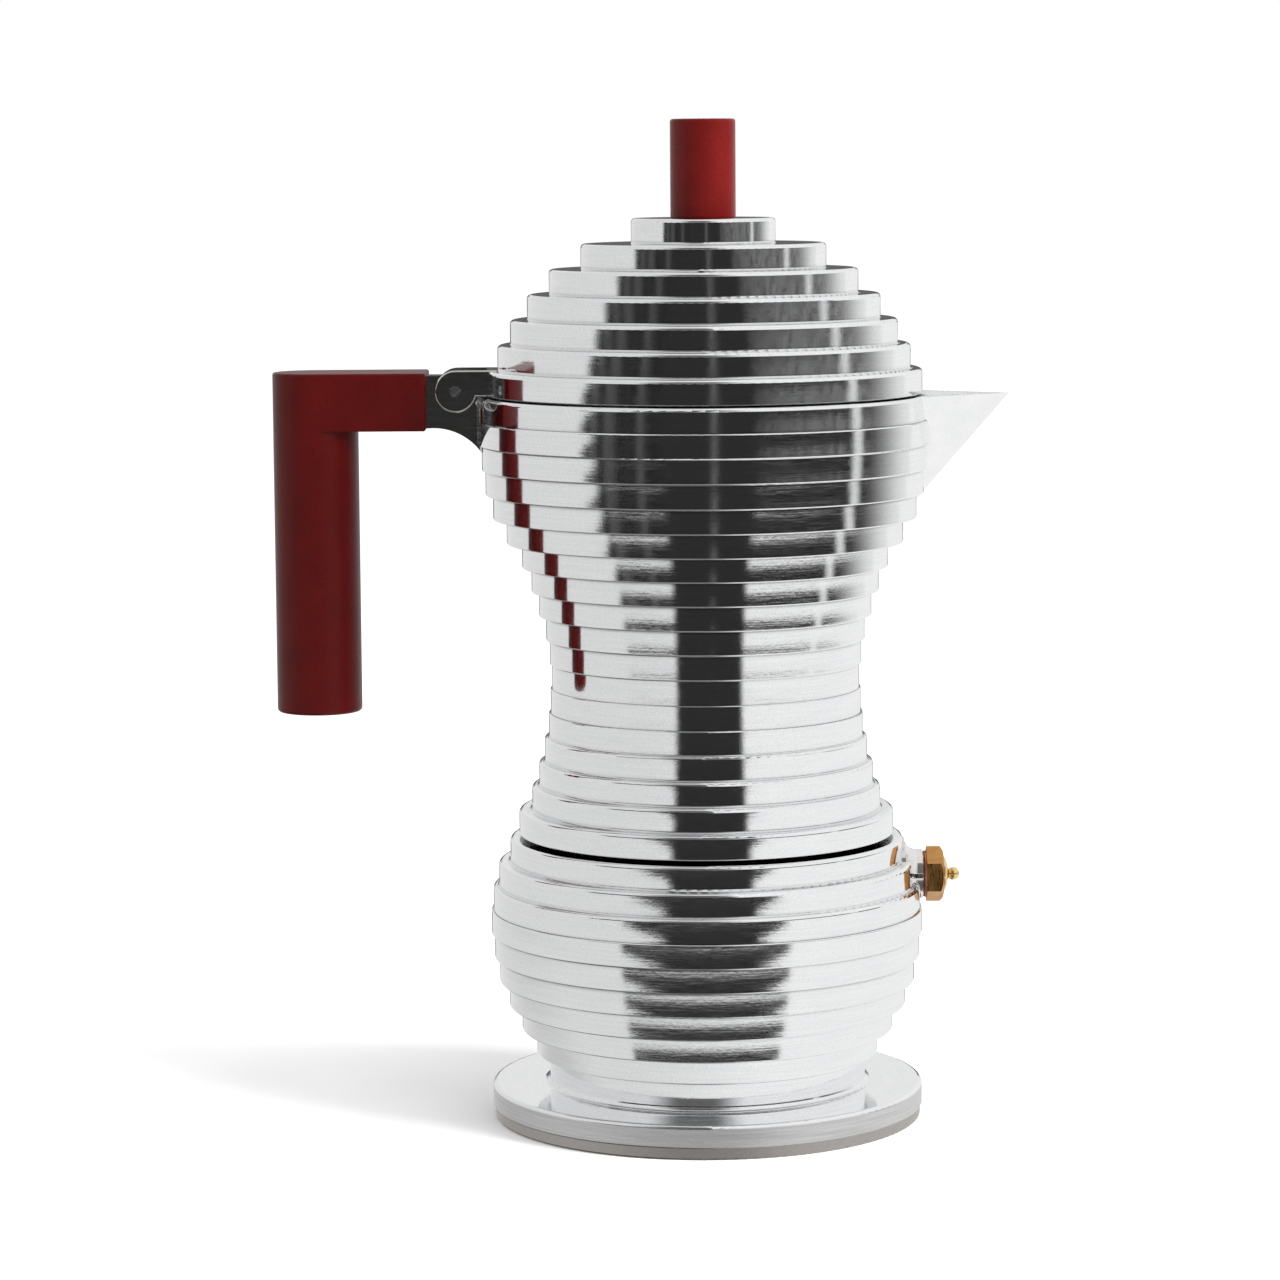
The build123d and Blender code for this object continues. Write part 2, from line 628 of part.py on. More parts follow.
def make_valve_body():
    prism = extrude(
        Plane.YZ * RegularPolygon(HEX_FLAT / 2, 6, major_radius=False, rotation=90),
        amount=HEX_LENGTH,
    )
    prism = Pos(HEX_X, 0, VALVE_Z) * prism
    corner_r = HEX_FLAT / math.sqrt(3)
    blank = turned_about_valve([
        (HEX_X, 0), (HEX_X, corner_r), (HEX_END_X - HEX_CHAMFER_X, corner_r),
        (HEX_END_X, HEX_FLAT / 2 - HEX_FACE_MARGIN), (HEX_END_X, 0),
    ])
    body = prism & blank
    body += turned_about_valve([
        (SHANK_END_X, 0), (SHANK_END_X, SHANK_R - SHANK_CHAMFER),
        (SHANK_END_X + SHANK_CHAMFER, SHANK_R), (HEX_X, SHANK_R), (HEX_X, 0),
    ])
    body -= turned_about_valve([
        (SHANK_END_X - 1, 0), (SHANK_END_X - 1, SEAT_HOLE), (SEAT_X, SEAT_HOLE),
        (SEAT_X, VALVE_BORE), (HEX_END_X + 1, VALVE_BORE), (HEX_END_X + 1, 0),
    ])
    return body


def make_valve_washer():
    return turned_about_valve([
        (BOSS_FACE_X, SHANK_R), (BOSS_FACE_X, BOSS_R - WASHER_MARGIN),
        (HEX_X, BOSS_R - WASHER_MARGIN), (HEX_X, SHANK_R),
    ])


def make_valve_cap():
    """Domed disc with a collar in the bore and a hole round the stem."""
    return turned_about_valve([
        (HEX_END_X - CAP_COLLAR, CAP_HOLE), (HEX_END_X - CAP_COLLAR, VALVE_BORE),
        (HEX_END_X, VALVE_BORE), (HEX_END_X, CAP_R), (HEX_END_X + CAP_RIM, CAP_R),
        (HEX_END_X + CAP_DOME_X, CAP_R - CAP_DOME_IN),
        (HEX_END_X + CAP_HEIGHT, CAP_R - CAP_TOP_IN), (HEX_END_X + CAP_HEIGHT, CAP_HOLE),
    ])


def make_valve_seal():
    return turned_about_valve([(SEAT_X, 0), (SEAT_X, SEAL_R), (SEAT_X + SEAL_THICKNESS, SEAL_R),
                               (SEAT_X + SEAL_THICKNESS, 0)])


def make_valve_plunger():
    head_x = SEAT_X + SEAL_THICKNESS
    plunger = turned_about_valve([
        (head_x, 0), (head_x, HEAD_R), (head_x + HEAD_THICKNESS, HEAD_R),
        (head_x + HEAD_THICKNESS, STEM_R), (BALL_X, STEM_R), (BALL_X, 0),
    ])
    return plunger + Pos(BALL_X, 0, VALVE_Z) * Sphere(BALL_R)


def make_valve_spring():
    start = SEAT_X + SEAL_THICKNESS + HEAD_THICKNESS + SPRING_WIRE
    height = HEX_END_X - CAP_COLLAR - SPRING_WIRE - start
    path = Helix(height / SPRING_TURNS, height, SPRING_R, center=(start, 0, VALVE_Z),
                 direction=(1, 0, 0))
    section = Plane(origin=path @ 0, z_dir=path % 0) * Circle(SPRING_WIRE)
    return sweep(section, path=path, is_frenet=True)


PARTS = {
    "boiler": make_boiler,
    "induction_plate": make_plate,
    "valve_body": make_valve_body,
    "valve_washer": make_valve_washer,
    "valve_cap": make_valve_cap,
    "valve_spring": make_valve_spring,
    "valve_plunger": make_valve_plunger,
    "valve_seal": make_valve_seal,
    "funnel": make_funnel,
    "funnel_screen": make_funnel_screen,
    "gasket": make_gasket,
    "filter_plate": make_filter_plate,
    "collector": make_collector,
    "handle": make_handle,
    "handle_screw": make_handle_screw,
    "lid": make_lid,
    "lid_knob": make_knob,
    "knob_screw": make_knob_screw,
    "knob_washer": make_knob_washer,
    "hinge_pin": make_hinge_pin,
}

os.makedirs("parts", exist_ok=True)
for name, make in PARTS.items():
    export_step(make(), f"parts/{name}.step")
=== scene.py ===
import math

import bpy
from mathutils import Matrix, Vector


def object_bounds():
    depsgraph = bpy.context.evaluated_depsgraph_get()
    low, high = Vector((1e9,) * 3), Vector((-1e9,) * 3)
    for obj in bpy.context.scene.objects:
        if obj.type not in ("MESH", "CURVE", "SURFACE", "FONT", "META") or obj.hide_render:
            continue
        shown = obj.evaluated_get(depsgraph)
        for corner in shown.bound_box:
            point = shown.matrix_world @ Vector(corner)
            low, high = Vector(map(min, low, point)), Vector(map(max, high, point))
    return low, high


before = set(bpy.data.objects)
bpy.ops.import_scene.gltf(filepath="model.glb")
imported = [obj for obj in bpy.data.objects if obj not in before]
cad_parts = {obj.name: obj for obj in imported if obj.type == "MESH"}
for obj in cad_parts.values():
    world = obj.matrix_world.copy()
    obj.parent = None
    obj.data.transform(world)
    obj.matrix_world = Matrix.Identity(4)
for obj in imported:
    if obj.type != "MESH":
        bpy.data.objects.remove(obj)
cad_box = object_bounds()

MM = 0.001

# Camera: place in metres, angles in degrees, lens and sensor in millimetres
CAMERA_PLACE = (-0.01343, -0.86856, 0.19963)
CAMERA_TILT = 83.37
CAMERA_ROLL = -0.406
CAMERA_LENS = 119.6
SENSOR = 36.0
CLIP_START = 0.05
CLIP_END = 50.0

# Distant light from the right: its height, turn and spread in degrees, and its strength
SUN_ELEVATION = 68.0
SUN_TURN = -40.0
SUN_ANGLE = 24.0
SUN_STRENGTH = 0.6

# Soft lamp at the right: its place from the pot's middle and its size in metres, and its watts
SIDE_LAMP_OFFSET = (0.80, -0.42, 0.45)
SIDE_LAMP_SIZE = 0.50
SIDE_LAMP_POWER = 18.0

# Plain room light, for everything but mirroring
ROOM_FOR_MATT = 1.05
ROOM_FOR_CAMERA = 1.0

# Mirrored studio, by direction in degrees. Turn is to the right of straight at the camera,
# rise is above level. A pair is a patch's two edges, or where a change starts and ends.
STREAK_SHIFT = 4.5
STREAK_LIGHT = (0.95, 1.03)
ROOM_LEFT = 0.74
ROOM_RIGHT = 0.93
GROUND_RISE = (-15.0, -28.0)
GROUND_TURN = (8.0, 36.0)
GROUND_LIGHT = 0.12
SHADE_TURN = (-150.0, -100.0)
SHADE_RISE = (-10.0, -13.0)
SHADE_LIGHT = 0.42
SHADE_SHARE = 0.5
SIDE_RISE = (-6.05, 8.0)
SIDE_RIGHT = 130.0
SIDE_LEFT = (-58.0, -67.0)
SIDE_LEFT_RISE = (-5.2, -2.9)
SIDE_LIGHT = 0.012
MOTTLE_RISE = (-4.4, -3.2)
MOTTLE_TURN = (2.0, 60.0)
MOTTLE_LIGHT = (0.02, 0.42)
HANGING_TURN = (0.0, -14.0)
HANGING_LIGHT = 0.07
FAINT_LIGHT = 0.018
FADE_START = (84.0, 88.0)
FADE_TURN = (88.0, 128.0)
FADE_LIGHT = (0.03, 0.80)
STRIP_TURN = (80.5, 86.5)
STRIP_LIGHT = 0.72
COLUMN_RISE = (-12.2, 8.0)
COLUMN_TURN = (-22.0, 26.0)
COLUMN_FOOT_RISE = (-9.2, -11.6)
COLUMN_FOOT_SPREAD = (-25.0, 18.0)
COLUMN_LIGHT = 0.026
LINE_TURN = (3.2, 5.2)
LINE_RISE = (-5.4, 3.0)
LINE_LIGHT = 0.20
LINE_SHARE = 0.8
BEHIND_TURN = (166.0, 172.0)
BEHIND_LIGHT = 0.12
HIGH_TURN = (-34.0, 16.0)
HIGH_RISE = (10.0, 60.0)
HIGH_LIGHT = 0.13

# Rings of the turned castings: lowest ring's bottom and the rings' pitch, in millimetres
RINGS = {"boiler": (13.2, 5.0), "collector": (59.0, 5.0), "lid": (149.3, 5.1)}

# Slopes of a ring's face: hollow in the middle, rounded at its edges
RING_HOLLOW = 0.014
RING_EDGE = 0.010

# The lowest ring faces slightly downwards: up to this height in millimetres, by this slope
DRAFT_TOP = 18.3
DRAFT_SLOPE = 0.020

# The foot's side is satin up to this height, and changes over this width, in millimetres
SATIN_TOP = 6.2
SATIN_EDGE = 0.3

# How far into the rings' corners the painted shade reaches, in millimetres
CORNER_REACH = 1.1

# Marks on the turned castings: how many to the metre, and their depths in millimetres
STREAKS = 2400.0
FINE_STREAKS = 9000.0
PEEL = 1100.0
STREAK_DEPTH = 0.0020
PEEL_DEPTH = 0.0024

# Rounding of the red plastic's edges, in millimetres
PLASTIC_EDGE = 0.7

# Radii below which a face is inside, and above which it isn't turned, in millimetres
INSIDE_R = {"boiler": 31.5, "collector": 31.2, "lid": 0.0}
RIM_R = {"boiler": 44.7, "collector": 46.15, "lid": 44.7}

# Lugs and bracket lie below the first of these along X, boss and beak above theirs, in millimetres
HINGE_SIDE_X = -40.0
BOSS_X = 40.0
BEAK_X = 30.0

# Floor: half its width and how far it lies under the foot, in metres
FLOOR_HALF = 6.0
FLOOR_DROP = 0.0001


# Short calls for node trees

def put(tree, socket, value):
    """Give a socket a link or a constant."""
    if isinstance(value, bpy.types.NodeSocket):
        tree.links.new(value, socket)
    else:
        socket.default_value = value


def node(tree, kind, inputs=None, **settings):
    """New node with its settings and inputs."""
    made = tree.nodes.new(kind)
    for name, value in settings.items():
        setattr(made, name, value)
    for name, value in (inputs or {}).items():
        put(tree, made.inputs[name], value)
    return made


def calc(tree, operation, *values):
    """Output of a math node."""
    made = node(tree, "ShaderNodeMath", operation=operation)
    for socket, value in zip(made.inputs, values):
        put(tree, socket, value)
    return made.outputs[0]


def step(tree, value, low, high, start=0.0, end=1.0):
    """Smooth change from start to end while value goes from low to high."""
    made = node(tree, "ShaderNodeMapRange", interpolation_type="SMOOTHSTEP")
    for name, number in (("Value", value), ("From Min", low), ("From Max", high),
                         ("To Min", start), ("To Max", end)):
        put(tree, made.inputs[name], number)
    return made.outputs["Result"]


def band(tree, value, low, high, soft):
    """One between low and high, zero outside, with soft edges."""
    if isinstance(low, bpy.types.NodeSocket):
        rise = step(tree, calc(tree, "SUBTRACT", value, low), -soft, soft)
    else:
        rise = step(tree, value, low - soft, low + soft)
    if isinstance(high, bpy.types.NodeSocket):
        fall = step(tree, calc(tree, "SUBTRACT", value, high), -soft, soft, 1.0, 0.0)
    else:
        fall = step(tree, value, high - soft, high + soft, 1.0, 0.0)
    return calc(tree, "MULTIPLY", rise, fall)


def blend(tree, share, first, second):
    """Number between first and second."""
    made = node(tree, "ShaderNodeMix", data_type="FLOAT")
    for index, value in enumerate((share, None, first, second)):
        if value is not None:
            put(tree, made.inputs[index], value)
    return made.outputs[0]


def mix_colour(tree, share, first, second):
    """Colour between first and second."""
    made = node(tree, "ShaderNodeMix", data_type="RGBA")
    put(tree, made.inputs["Factor"], share)
    put(tree, made.inputs[6], first)
    put(tree, made.inputs[7], second)
    return made.outputs[2]


def noise(tree, vector, scale, detail=2.0, roughness=0.5):
    """Smooth noise between zero and one."""
    made = node(tree, "ShaderNodeTexNoise",
                {"Vector": vector, "Scale": scale, "Detail": detail, "Roughness": roughness})
    return made.outputs["Fac"]


def scaled(tree, vector, factors):
    """Vector stretched by a factor along each axis."""
    made = node(tree, "ShaderNodeVectorMath", operation="MULTIPLY")
    put(tree, made.inputs[0], vector)
    put(tree, made.inputs[1], factors)
    return made.outputs[0]


def joined(tree, x, y, z):
    """Vector from three numbers."""
    return node(tree, "ShaderNodeCombineXYZ", {"X": x, "Y": y, "Z": z}).outputs[0]


# Studio: what the polished metal mirrors

def patch(tree, turn, turns, soft_turn, rise, rises, soft_rise):
    """One inside a patch of directions, zero outside, with soft edges."""
    return calc(tree, "MULTIPLY", band(tree, turn, *turns, soft_turn),
                band(tree, rise, *rises, soft_rise))


def pale_room(tree, turn, rise, streak):
    """Pale room: darker to the left, below, and in the pot's own shadow."""
    sideways = calc(tree, "SINE", calc(tree, "RADIANS", turn))
    light = step(tree, sideways, -0.9, 0.8, ROOM_LEFT, ROOM_RIGHT)
    light = calc(tree, "MULTIPLY", light, step(tree, streak, 0.3, 0.7, *STREAK_LIGHT))
    below = calc(tree, "MULTIPLY", step(tree, rise, *GROUND_RISE),
                 step(tree, turn, *GROUND_TURN, 1.0, 0.0))
    light = blend(tree, below, light, GROUND_LIGHT)
    shade = calc(tree, "MULTIPLY", band(tree, turn, *SHADE_TURN, 22.0), step(tree, rise, *SHADE_RISE))
    return blend(tree, calc(tree, "MULTIPLY", shade, SHADE_SHARE), light, SHADE_LIGHT)


def dark_side(tree, turn, rise, light):
    """Wide dark side of the room round the horizon, mottled to the right, with a bright strip."""
    grain = noise(tree, joined(tree, calc(tree, "MULTIPLY", turn, 0.55),
                               calc(tree, "MULTIPLY", rise, 3.2), 0.0), 1.0, 4.0, 0.65)
    mottle = calc(tree, "MULTIPLY", step(tree, turn, *MOTTLE_TURN, *MOTTLE_LIGHT),
                  step(tree, grain, 0.44, 0.62))
    upper = step(tree, rise, *MOTTLE_RISE)
    hanging = noise(tree, joined(tree, calc(tree, "MULTIPLY", turn, 0.13), 0.0, 4.0), 1.0, 1.0)
    hanging = calc(tree, "MULTIPLY", step(tree, hanging, 0.50, 0.62),
                   step(tree, turn, *HANGING_TURN, 0.0, HANGING_LIGHT))
    faint = calc(tree, "MULTIPLY", step(tree, grain, 0.35, 0.75), FAINT_LIGHT)
    dark = blend(tree, upper, SIDE_LIGHT, calc(tree, "ADD", mottle, 0.010))
    dark = calc(tree, "ADD", dark, calc(tree, "ADD", hanging, faint))
    fade = calc(tree, "MULTIPLY", step(tree, turn, *FADE_TURN, *FADE_LIGHT),
                step(tree, turn, *FADE_START))
    strip = calc(tree, "MULTIPLY", band(tree, turn, *STRIP_TURN, 0.8), STRIP_LIGHT)
    dark = calc(tree, "MAXIMUM", calc(tree, "MAXIMUM", dark, fade), strip)
    left_edge = step(tree, rise, *SIDE_LEFT_RISE, *SIDE_LEFT)
    wide = patch(tree, turn, (left_edge, SIDE_RIGHT), 1.5, rise, SIDE_RISE, 0.25)
    return blend(tree, wide, light, dark)


def dark_columns(tree, turn, rise, light):
    """Narrow dark column in front, wider towards its foot, with a faint line; a softer one behind."""
    foot = step(tree, rise, *COLUMN_FOOT_RISE)
    left, right = [calc(tree, "MULTIPLY_ADD", foot, spread, edge)
                   for spread, edge in zip(COLUMN_FOOT_SPREAD, COLUMN_TURN)]
    column = patch(tree, turn, (left, right), 1.6, rise, COLUMN_RISE, 0.3)
    light = blend(tree, column, light, COLUMN_LIGHT)
    line = patch(tree, turn, LINE_TURN, 0.8, rise, LINE_RISE, 0.8)
    light = blend(tree, calc(tree, "MULTIPLY", line, LINE_SHARE), light, LINE_LIGHT)
    behind = calc(tree, "MULTIPLY", step(tree, calc(tree, "ABSOLUTE", turn), *BEHIND_TURN),
                  band(tree, rise, *COLUMN_RISE, 0.3))
    return blend(tree, behind, light, BEHIND_LIGHT)


def studio_light(tree):
    """Brightness of the studio by direction, as the metal sees it."""
    direction = node(tree, "ShaderNodeTexCoord").outputs["Generated"]
    parts = node(tree, "ShaderNodeSeparateXYZ", {"Vector": direction})
    x, y, z = parts.outputs
    turn = calc(tree, "DEGREES", calc(tree, "ARCTAN2", x, calc(tree, "MULTIPLY", y, -1.0)))
    rise = calc(tree, "DEGREES", calc(tree, "ARCSINE", z))

    # ragged edges: the fine streaks on the metal shift what it mirrors
    streak = noise(tree, joined(tree, 0.0, calc(tree, "MULTIPLY", rise, 5.0), 2.0), 1.0, 4.0, 0.7)
    turn = calc(tree, "ADD", turn, step(tree, streak, 0.25, 0.75, -STREAK_SHIFT, STREAK_SHIFT))

    light = pale_room(tree, turn, rise, streak)
    light = dark_side(tree, turn, rise, light)
    light = dark_columns(tree, turn, rise, light)

    # dark above the camera, which the flange's top shows by way of the foot
    high = patch(tree, turn, HIGH_TURN, 14.0, rise, HIGH_RISE, 1.5)
    return blend(tree, high, light, HIGH_LIGHT)


def make_world():
    """Studio for mirroring rays, plain light for all others."""
    world = bpy.data.worlds.new("studio")
    bpy.context.scene.world = world
    world.use_nodes = True
    tree = world.node_tree
    tree.nodes.clear()
    seen = studio_light(tree)
    path = node(tree, "ShaderNodeLightPath")
    plain = blend(tree, path.outputs["Is Camera Ray"], ROOM_FOR_MATT, ROOM_FOR_CAMERA)
    strength = blend(tree, path.outputs["Is Glossy Ray"], plain, seen)
    background = node(tree, "ShaderNodeBackground", {"Color": (1, 1, 1, 1), "Strength": strength})
    output = node(tree, "ShaderNodeOutputWorld")
    tree.links.new(background.outputs[0], output.inputs["Surface"])


# Materials

def new_material(name):
    """Material with an empty tree, its shader and its object coordinates."""
    material = bpy.data.materials.new(name)
    material.use_nodes = True
    tree = material.node_tree
    tree.nodes.clear()
    shader = node(tree, "ShaderNodeBsdfPrincipled")
    output = node(tree, "ShaderNodeOutputMaterial")
    tree.links.new(shader.outputs[0], output.inputs["Surface"])
    coords = node(tree, "ShaderNodeTexCoord").outputs["Object"]
    return material, tree, shader, coords


def bump(tree, shader, height):
    """Height in millimetres as bump."""
    made = node(tree, "ShaderNodeBump", {"Strength": 1.0, "Distance": MM, "Height": height})
    tree.links.new(made.outputs[0], shader.inputs["Normal"])
    return made


def ramp(tree, value, stops):
    """Colour ramp with (place, colour) stops."""
    made = node(tree, "ShaderNodeValToRGB", {"Fac": value})
    elements = made.color_ramp.elements
    for index, (place, colour) in enumerate(stops):
        element = elements[index] if index < 2 else elements.new(place)
        element.position = place
        element.color = (*colour, 1.0)
    return made.outputs[0]


def radial_tangent(tree, shader, anisotropy):
    """Grooves run round the upright axis."""
    tangent = node(tree, "ShaderNodeTangent", direction_type="RADIAL", axis="Z")
    tree.links.new(tangent.outputs[0], shader.inputs["Tangent"])
    shader.inputs["Anisotropic"].default_value = anisotropy


def round_coords(tree, coords, across, along):
    """Coordinates for turning marks: slow round the pot, fast across the grooves."""
    parts = node(tree, "ShaderNodeSeparateXYZ", {"Vector": coords})
    x, y, z = parts.outputs
    radius = calc(tree, "SQRT", calc(tree, "ADD", calc(tree, "MULTIPLY", x, x),
                                     calc(tree, "MULTIPLY", y, y)))
    safe = calc(tree, "MAXIMUM", radius, 1e-4)
    groove = calc(tree, "MULTIPLY", calc(tree, "ADD", z, radius), across)
    return joined(tree, calc(tree, "MULTIPLY", calc(tree, "DIVIDE", x, safe), along),
                  calc(tree, "MULTIPLY", calc(tree, "DIVIDE", y, safe), along), groove)


def ring_face(tree, coords, bottom, pitch):
    """Height in millimetres of each ring's face: slightly hollow, with rounded edges."""
    z = node(tree, "ShaderNodeSeparateXYZ", {"Vector": coords}).outputs["Z"]
    above = calc(tree, "SUBTRACT", z, bottom * MM)
    place = calc(tree, "FRACT", calc(tree, "DIVIDE", above, pitch * MM))
    middle = calc(tree, "MULTIPLY_ADD", place, 2.0, -1.0)
    square = calc(tree, "MULTIPLY", middle, middle)
    sixth = calc(tree, "POWER", square, 3.0)
    height = calc(tree, "ADD", calc(tree, "MULTIPLY", square, pitch * RING_HOLLOW / 4),
                  calc(tree, "MULTIPLY", sixth, -pitch * RING_EDGE / 12))
    draft = calc(tree, "MINIMUM", calc(tree, "SUBTRACT", z, DRAFT_TOP * MM), 0.0)
    return calc(tree, "MULTIPLY_ADD", draft, DRAFT_SLOPE / MM, height)


def turned_aluminium(name, bottom, pitch):
    """Polished outside of a stepped casting, with fine turning marks and painted shade in the rings'
    corners.
    """
    material, tree, shader, coords = new_material(name)
    shader.inputs["Metallic"].default_value = 1.0
    radial_tangent(tree, shader, 0.55)
    streaks = noise(tree, round_coords(tree, coords, STREAKS, 2.5), 1.0, 3.0, 0.6)
    fine = noise(tree, round_coords(tree, coords, FINE_STREAKS, 9.0), 1.0, 2.0, 0.6)
    orange_peel = noise(tree, coords, PEEL, 2.0, 0.6)
    height = node(tree, "ShaderNodeSeparateXYZ", {"Vector": coords}).outputs["Z"]
    satin = step(tree, height, SATIN_TOP * MM, (SATIN_TOP + SATIN_EDGE) * MM, 1.0, 0.0)
    grain = calc(tree, "MULTIPLY_ADD", noise(tree, coords, 2600.0, 1.0), 0.5,
                 calc(tree, "MULTIPLY", streaks, 0.5))
    polished = ramp(tree, grain, [(0.30, (0.82, 0.83, 0.84)), (0.70, (0.96, 0.96, 0.965))])
    brushed = ramp(tree, streaks, [(0.25, (0.56, 0.56, 0.56)), (0.75, (0.74, 0.74, 0.735))])
    colour = mix_colour(tree, satin, polished, brushed)
    # Painted shade: the base colour turns near black where ambient occlusion finds the rings' corners
    # and crevices
    corner = node(tree, "ShaderNodeAmbientOcclusion", {"Distance": CORNER_REACH * MM}, samples=6)
    painted_corner_shade = step(tree, corner.outputs["AO"], 0.45, 0.88, 0.90, 0.0)
    put(tree, shader.inputs["Base Color"],
        mix_colour(tree, painted_corner_shade, colour, (0.06, 0.06, 0.06, 1.0)))
    shine = step(tree, fine, 0.3, 0.7, 0.04, 0.09)
    put(tree, shader.inputs["Roughness"], blend(tree, satin, shine, calc(tree, "ADD", shine, 0.22)))
    marks = calc(tree, "ADD", calc(tree, "MULTIPLY", streaks, STREAK_DEPTH),
                 calc(tree, "MULTIPLY", orange_peel, PEEL_DEPTH))
    bump(tree, shader, calc(tree, "ADD", marks, ring_face(tree, coords, bottom, pitch)))
    return material


def flat_aluminium():
    """Polished flat castings: bracket, hinge lugs and valve boss."""
    material, tree, shader, coords = new_material("polished_flat")
    shader.inputs["Metallic"].default_value = 1.0
    cloud = noise(tree, coords, 160.0, 3.0, 0.6)
    scratch = noise(tree, scaled(tree, coords, (300.0, 300.0, 2600.0)), 1.0, 2.0)
    put(tree, shader.inputs["Base Color"],
        ramp(tree, cloud, [(0.3, (0.74, 0.72, 0.70)), (0.7, (0.88, 0.87, 0.86))]))
    put(tree, shader.inputs["Roughness"], step(tree, scratch, 0.3, 0.7, 0.05, 0.13))
    bump(tree, shader, calc(tree, "MULTIPLY", cloud, 0.010))
    return material


def cast_aluminium(name, colour_low, colour_high, roughness):
    """Satin casting with fine mottled grain: the beak and the insides."""
    material, tree, shader, coords = new_material(name)
    shader.inputs["Metallic"].default_value = 1.0
    grain = noise(tree, coords, 1500.0, 3.0, 0.65)
    cloud = noise(tree, coords, 220.0, 2.0)
    put(tree, shader.inputs["Base Color"], ramp(tree, cloud, [(0.3, colour_low), (0.7, colour_high)]))
    put(tree, shader.inputs["Roughness"],
        step(tree, grain, 0.3, 0.7, roughness - 0.06, roughness + 0.08))
    bump(tree, shader, calc(tree, "MULTIPLY", grain, 0.010))
    return material


def brushed_metal(name, colour_low, colour_high, roughness):
    """Metal with fine marks round the upright axis: plate, funnel, screens, screws and the pin."""
    material, tree, shader, coords = new_material(name)
    shader.inputs["Metallic"].default_value = 1.0
    radial_tangent(tree, shader, 0.6)
    lines = noise(tree, round_coords(tree, coords, 5200.0, 30.0), 1.0, 3.0, 0.6)
    put(tree, shader.inputs["Base Color"], ramp(tree, lines, [(0.3, colour_low), (0.7, colour_high)]))
    put(tree, shader.inputs["Roughness"],
        step(tree, lines, 0.3, 0.7, roughness - 0.05, roughness + 0.06))
    bump(tree, shader, calc(tree, "MULTIPLY", lines, 0.0015))
    return material


def brass(name, colour_low, colour_high, roughness):
    """Turned brass with faint tool marks along X and slight tarnish."""
    material, tree, shader, coords = new_material(name)
    shader.inputs["Metallic"].default_value = 1.0
    tarnish = noise(tree, coords, 420.0, 3.0, 0.6)
    marks = noise(tree, scaled(tree, coords, (6500.0, 500.0, 500.0)), 1.0, 2.0)
    put(tree, shader.inputs["Base Color"], ramp(tree, tarnish, [(0.3, colour_low), (0.7, colour_high)]))
    put(tree, shader.inputs["Roughness"],
        step(tree, marks, 0.3, 0.7, roughness - 0.04, roughness + 0.08))
    bump(tree, shader, calc(tree, "MULTIPLY", marks, 0.0015))
    return material


def moulded_red(name, colour_low, colour_high, roughness, grain_size):
    """Moulded polyamide with a fine eroded grain and rounded edges."""
    material, tree, shader, coords = new_material(name)
    grain = noise(tree, coords, grain_size, 3.0, 0.6)
    cloud = noise(tree, coords, 130.0, 2.0)
    put(tree, shader.inputs["Base Color"], ramp(tree, cloud, [(0.3, colour_low), (0.7, colour_high)]))
    put(tree, shader.inputs["Roughness"],
        step(tree, grain, 0.3, 0.7, roughness - 0.07, roughness + 0.07))
    shader.inputs["IOR"].default_value = 1.5
    shader.inputs["Specular IOR Level"].default_value = 0.16
    relief = bump(tree, shader, calc(tree, "MULTIPLY", grain, 0.012))
    rounded = node(tree, "ShaderNodeBevel", {"Radius": PLASTIC_EDGE * MM}, samples=4)
    tree.links.new(rounded.outputs[0], relief.inputs["Normal"])
    return material


def soft_rubber(name, colour_low, colour_high):
    """Matt silicone or fibre."""
    material, tree, shader, coords = new_material(name)
    grain = noise(tree, coords, 1800.0, 3.0, 0.6)
    put(tree, shader.inputs["Base Color"], ramp(tree, grain, [(0.3, colour_low), (0.7, colour_high)]))
    put(tree, shader.inputs["Roughness"], step(tree, grain, 0.3, 0.7, 0.55, 0.75))
    bump(tree, shader, calc(tree, "MULTIPLY", grain, 0.01))
    return material


def dress(name, *materials):
    """Give a CAD node its materials, in slot order."""
    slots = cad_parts[name].data.materials
    slots.clear()
    for material in materials:
        slots.append(material)


def dress_casting(name, turned, flat, cast, inside):
    """Turned outside, flat polished lugs, satin beak and dull inside, face by face."""
    dress(name, turned, flat, cast, inside)
    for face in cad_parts[name].data.polygons:
        face.material_index = casting_region(name, face.center / MM, face.normal)


def casting_region(name, centre, normal):
    """0 turned outside, 1 lug, bracket or boss, 2 beak, 3 inside."""
    radius = max(math.hypot(centre.x, centre.y), 1e-6)
    outward = (centre.x * normal.x + centre.y * normal.y) / radius
    sideways = abs(centre.x * normal.y - centre.y * normal.x) / radius
    off_turning = sideways > 0.12 or radius > RIM_R[name]
    if name != "boiler" and centre.x < HINGE_SIDE_X and off_turning:
        return 1
    if name == "boiler" and centre.x > BOSS_X and off_turning:
        return 1
    if name == "collector" and centre.x > BEAK_X and off_turning:
        return 2
    if outward < -0.2 or radius < INSIDE_R[name] or (name == "lid" and normal.z < -0.5):
        return 3
    return 0


